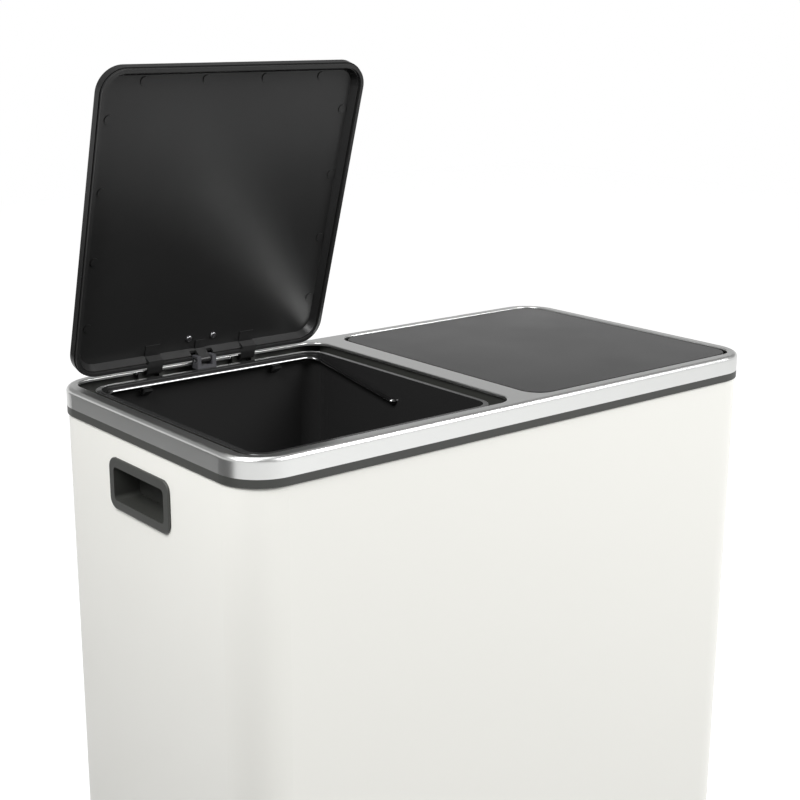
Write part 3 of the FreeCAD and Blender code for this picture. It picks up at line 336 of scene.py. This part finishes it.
# %% Place the lamps
def area_lamp(name, place, target, size, power):
    data = bpy.data.lights.new(name, "AREA")
    data.shape = "RECTANGLE"
    data.size, data.size_y = size
    data.energy = power
    lamp = bpy.data.objects.new(name, data)
    lamp.location = place
    lamp.rotation_euler = (Vector(target) - Vector(place)).to_track_quat("-Z", "Y").to_euler()
    bpy.context.collection.objects.link(lamp)


# name, place, target, size in m and power in W
for lamp in (("key_lamp", (1.3, -1.9, 2.4), (0.1, 0.0, 0.6), (1.6, 1.6), 104.0),
             ("fill_lamp", (-0.95, -0.2, 1.5), (-0.29, 0.0, 0.6), (0.6, 0.6), 20.0),
             ("top_lamp", (-0.2, 0.3, 2.6), (0.0, 0.0, 0.6), (1.4, 1.0), 14.0)):
    area_lamp(*lamp)
print("placed", len(bpy.data.lights), "lamps")

# %% Light the world
AMBIENT = 0.26          # strength for diffuse rays
CEILING = 0.30          # strength overhead for glossy rays
WALL_TOP = 0.19         # sine of the height at which the backdrop starts to darken
CEILING_LOW = 0.28      # and of the height at which it is as dark as the ceiling

world = bpy.data.worlds.new("studio")
bpy.context.scene.world = world
world.use_nodes = True
world_tree = world.node_tree
background = world_tree.nodes["Background"]
background.inputs["Color"].default_value = (1.0, 1.0, 1.0, 1.0)
direction = add(world_tree, "ShaderNodeSeparateXYZ")
world_tree.links.new(add(world_tree, "ShaderNodeTexCoord").outputs["Generated"],
                     direction.inputs["Vector"])
height = add(world_tree, "ShaderNodeMapRange", interpolation_type="SMOOTHSTEP")
set_values(height, {"From Min": WALL_TOP, "From Max": CEILING_LOW, "To Min": 1.0,
                    "To Max": CEILING})
world_tree.links.new(direction.outputs["Z"], height.inputs["Value"])
glossy = add(world_tree, "ShaderNodeMix")
glossy.inputs["A"].default_value = AMBIENT
world_tree.links.new(add(world_tree, "ShaderNodeLightPath").outputs["Is Glossy Ray"],
                     glossy.inputs["Factor"])
world_tree.links.new(height.outputs["Result"], glossy.inputs["B"])
plain = add(world_tree, "ShaderNodeMix")
plain.inputs["B"].default_value = 1.0
world_tree.links.new(sees_white(world_tree, glossy=False), plain.inputs["Factor"])
world_tree.links.new(glossy.outputs["Result"], plain.inputs["A"])
world_tree.links.new(plain.outputs["Result"], background.inputs["Strength"])
print("world", AMBIENT, "for diffuse rays and", CEILING, "overhead for glossy ones")

# %% Stand the grey card on the left
CARD_SIZE = (3.0, 0.55)     # length and height in m
CARD_PLACE = (-1.1, 1.5)    # X and Y of its middle
CARD_GREY = (0.05, 0.05, 0.05)


def stand_card():
    card_mesh = bmesh.new()
    bmesh.ops.create_grid(card_mesh, x_segments=1, y_segments=1, size=0.5)
    bmesh.ops.scale(card_mesh, vec=(CARD_SIZE[0], CARD_SIZE[1], 1.0), verts=card_mesh.verts)
    quarter = math.radians(90)
    upright = Matrix.Rotation(quarter, 4, "Z") @ Matrix.Rotation(quarter, 4, "X")
    bmesh.ops.transform(card_mesh, matrix=upright, verts=card_mesh.verts)
    bmesh.ops.translate(card_mesh, vec=(CARD_PLACE[0], CARD_PLACE[1], CARD_SIZE[1] / 2),
                        verts=card_mesh.verts)
    data = bpy.data.meshes.new("grey_card")
    card_mesh.to_mesh(data)
    card_mesh.free()
    data.materials.append(new_material("card_paper", CARD_GREY, 0.9)[0])
    card = bpy.data.objects.new("grey_card", data)
    card.visible_camera = False
    card.visible_shadow = False
    card.visible_diffuse = False
    bpy.context.collection.objects.link(card)


stand_card()
print("card", *CARD_SIZE, "m")

# %% [markdown]
# ## Camera
# The camera stands at the front left, a little above the rim, close enough that the far
# corner looks clearly smaller. Its axes are worked out from three angles, as a photographer
# would pan, tilt and roll the camera, and placed from the middle of the rim's top.

# %% Set the camera
FOCAL = 65.96           # mm on a 36 mm sensor
PAN = math.radians(39.41)
TILT = math.radians(14.98)
ROLL = math.radians(0.33)
EYE = Vector((-0.8473, -1.0039, 0.3189))    # from the middle of the rim's top

ahead = Vector((math.sin(PAN) * math.cos(TILT), math.cos(PAN) * math.cos(TILT),
                -math.sin(TILT)))
level_right = ahead.cross(Vector((0.0, 0.0, 1.0))).normalized()
level_up = level_right.cross(ahead)
right = level_right * math.cos(ROLL) + level_up * math.sin(ROLL)
up = level_up * math.cos(ROLL) - level_right * math.sin(ROLL)
camera_data = bpy.data.cameras.new("camera")
camera_data.sensor_width = 36.0
camera_data.lens = FOCAL
camera = bpy.data.objects.new("camera", camera_data)
turn = Matrix((right, up, -ahead)).transposed().to_4x4()
camera.matrix_world = Matrix.Translation(Vector((0.0, middle_y, rim_top)) + EYE) @ turn
bpy.context.collection.objects.link(camera)
bpy.context.scene.camera = camera
bpy.context.scene.view_settings.view_transform = "Standard"
print("camera", FOCAL, "mm at", [round(v, 3) for v in camera.matrix_world.translation])
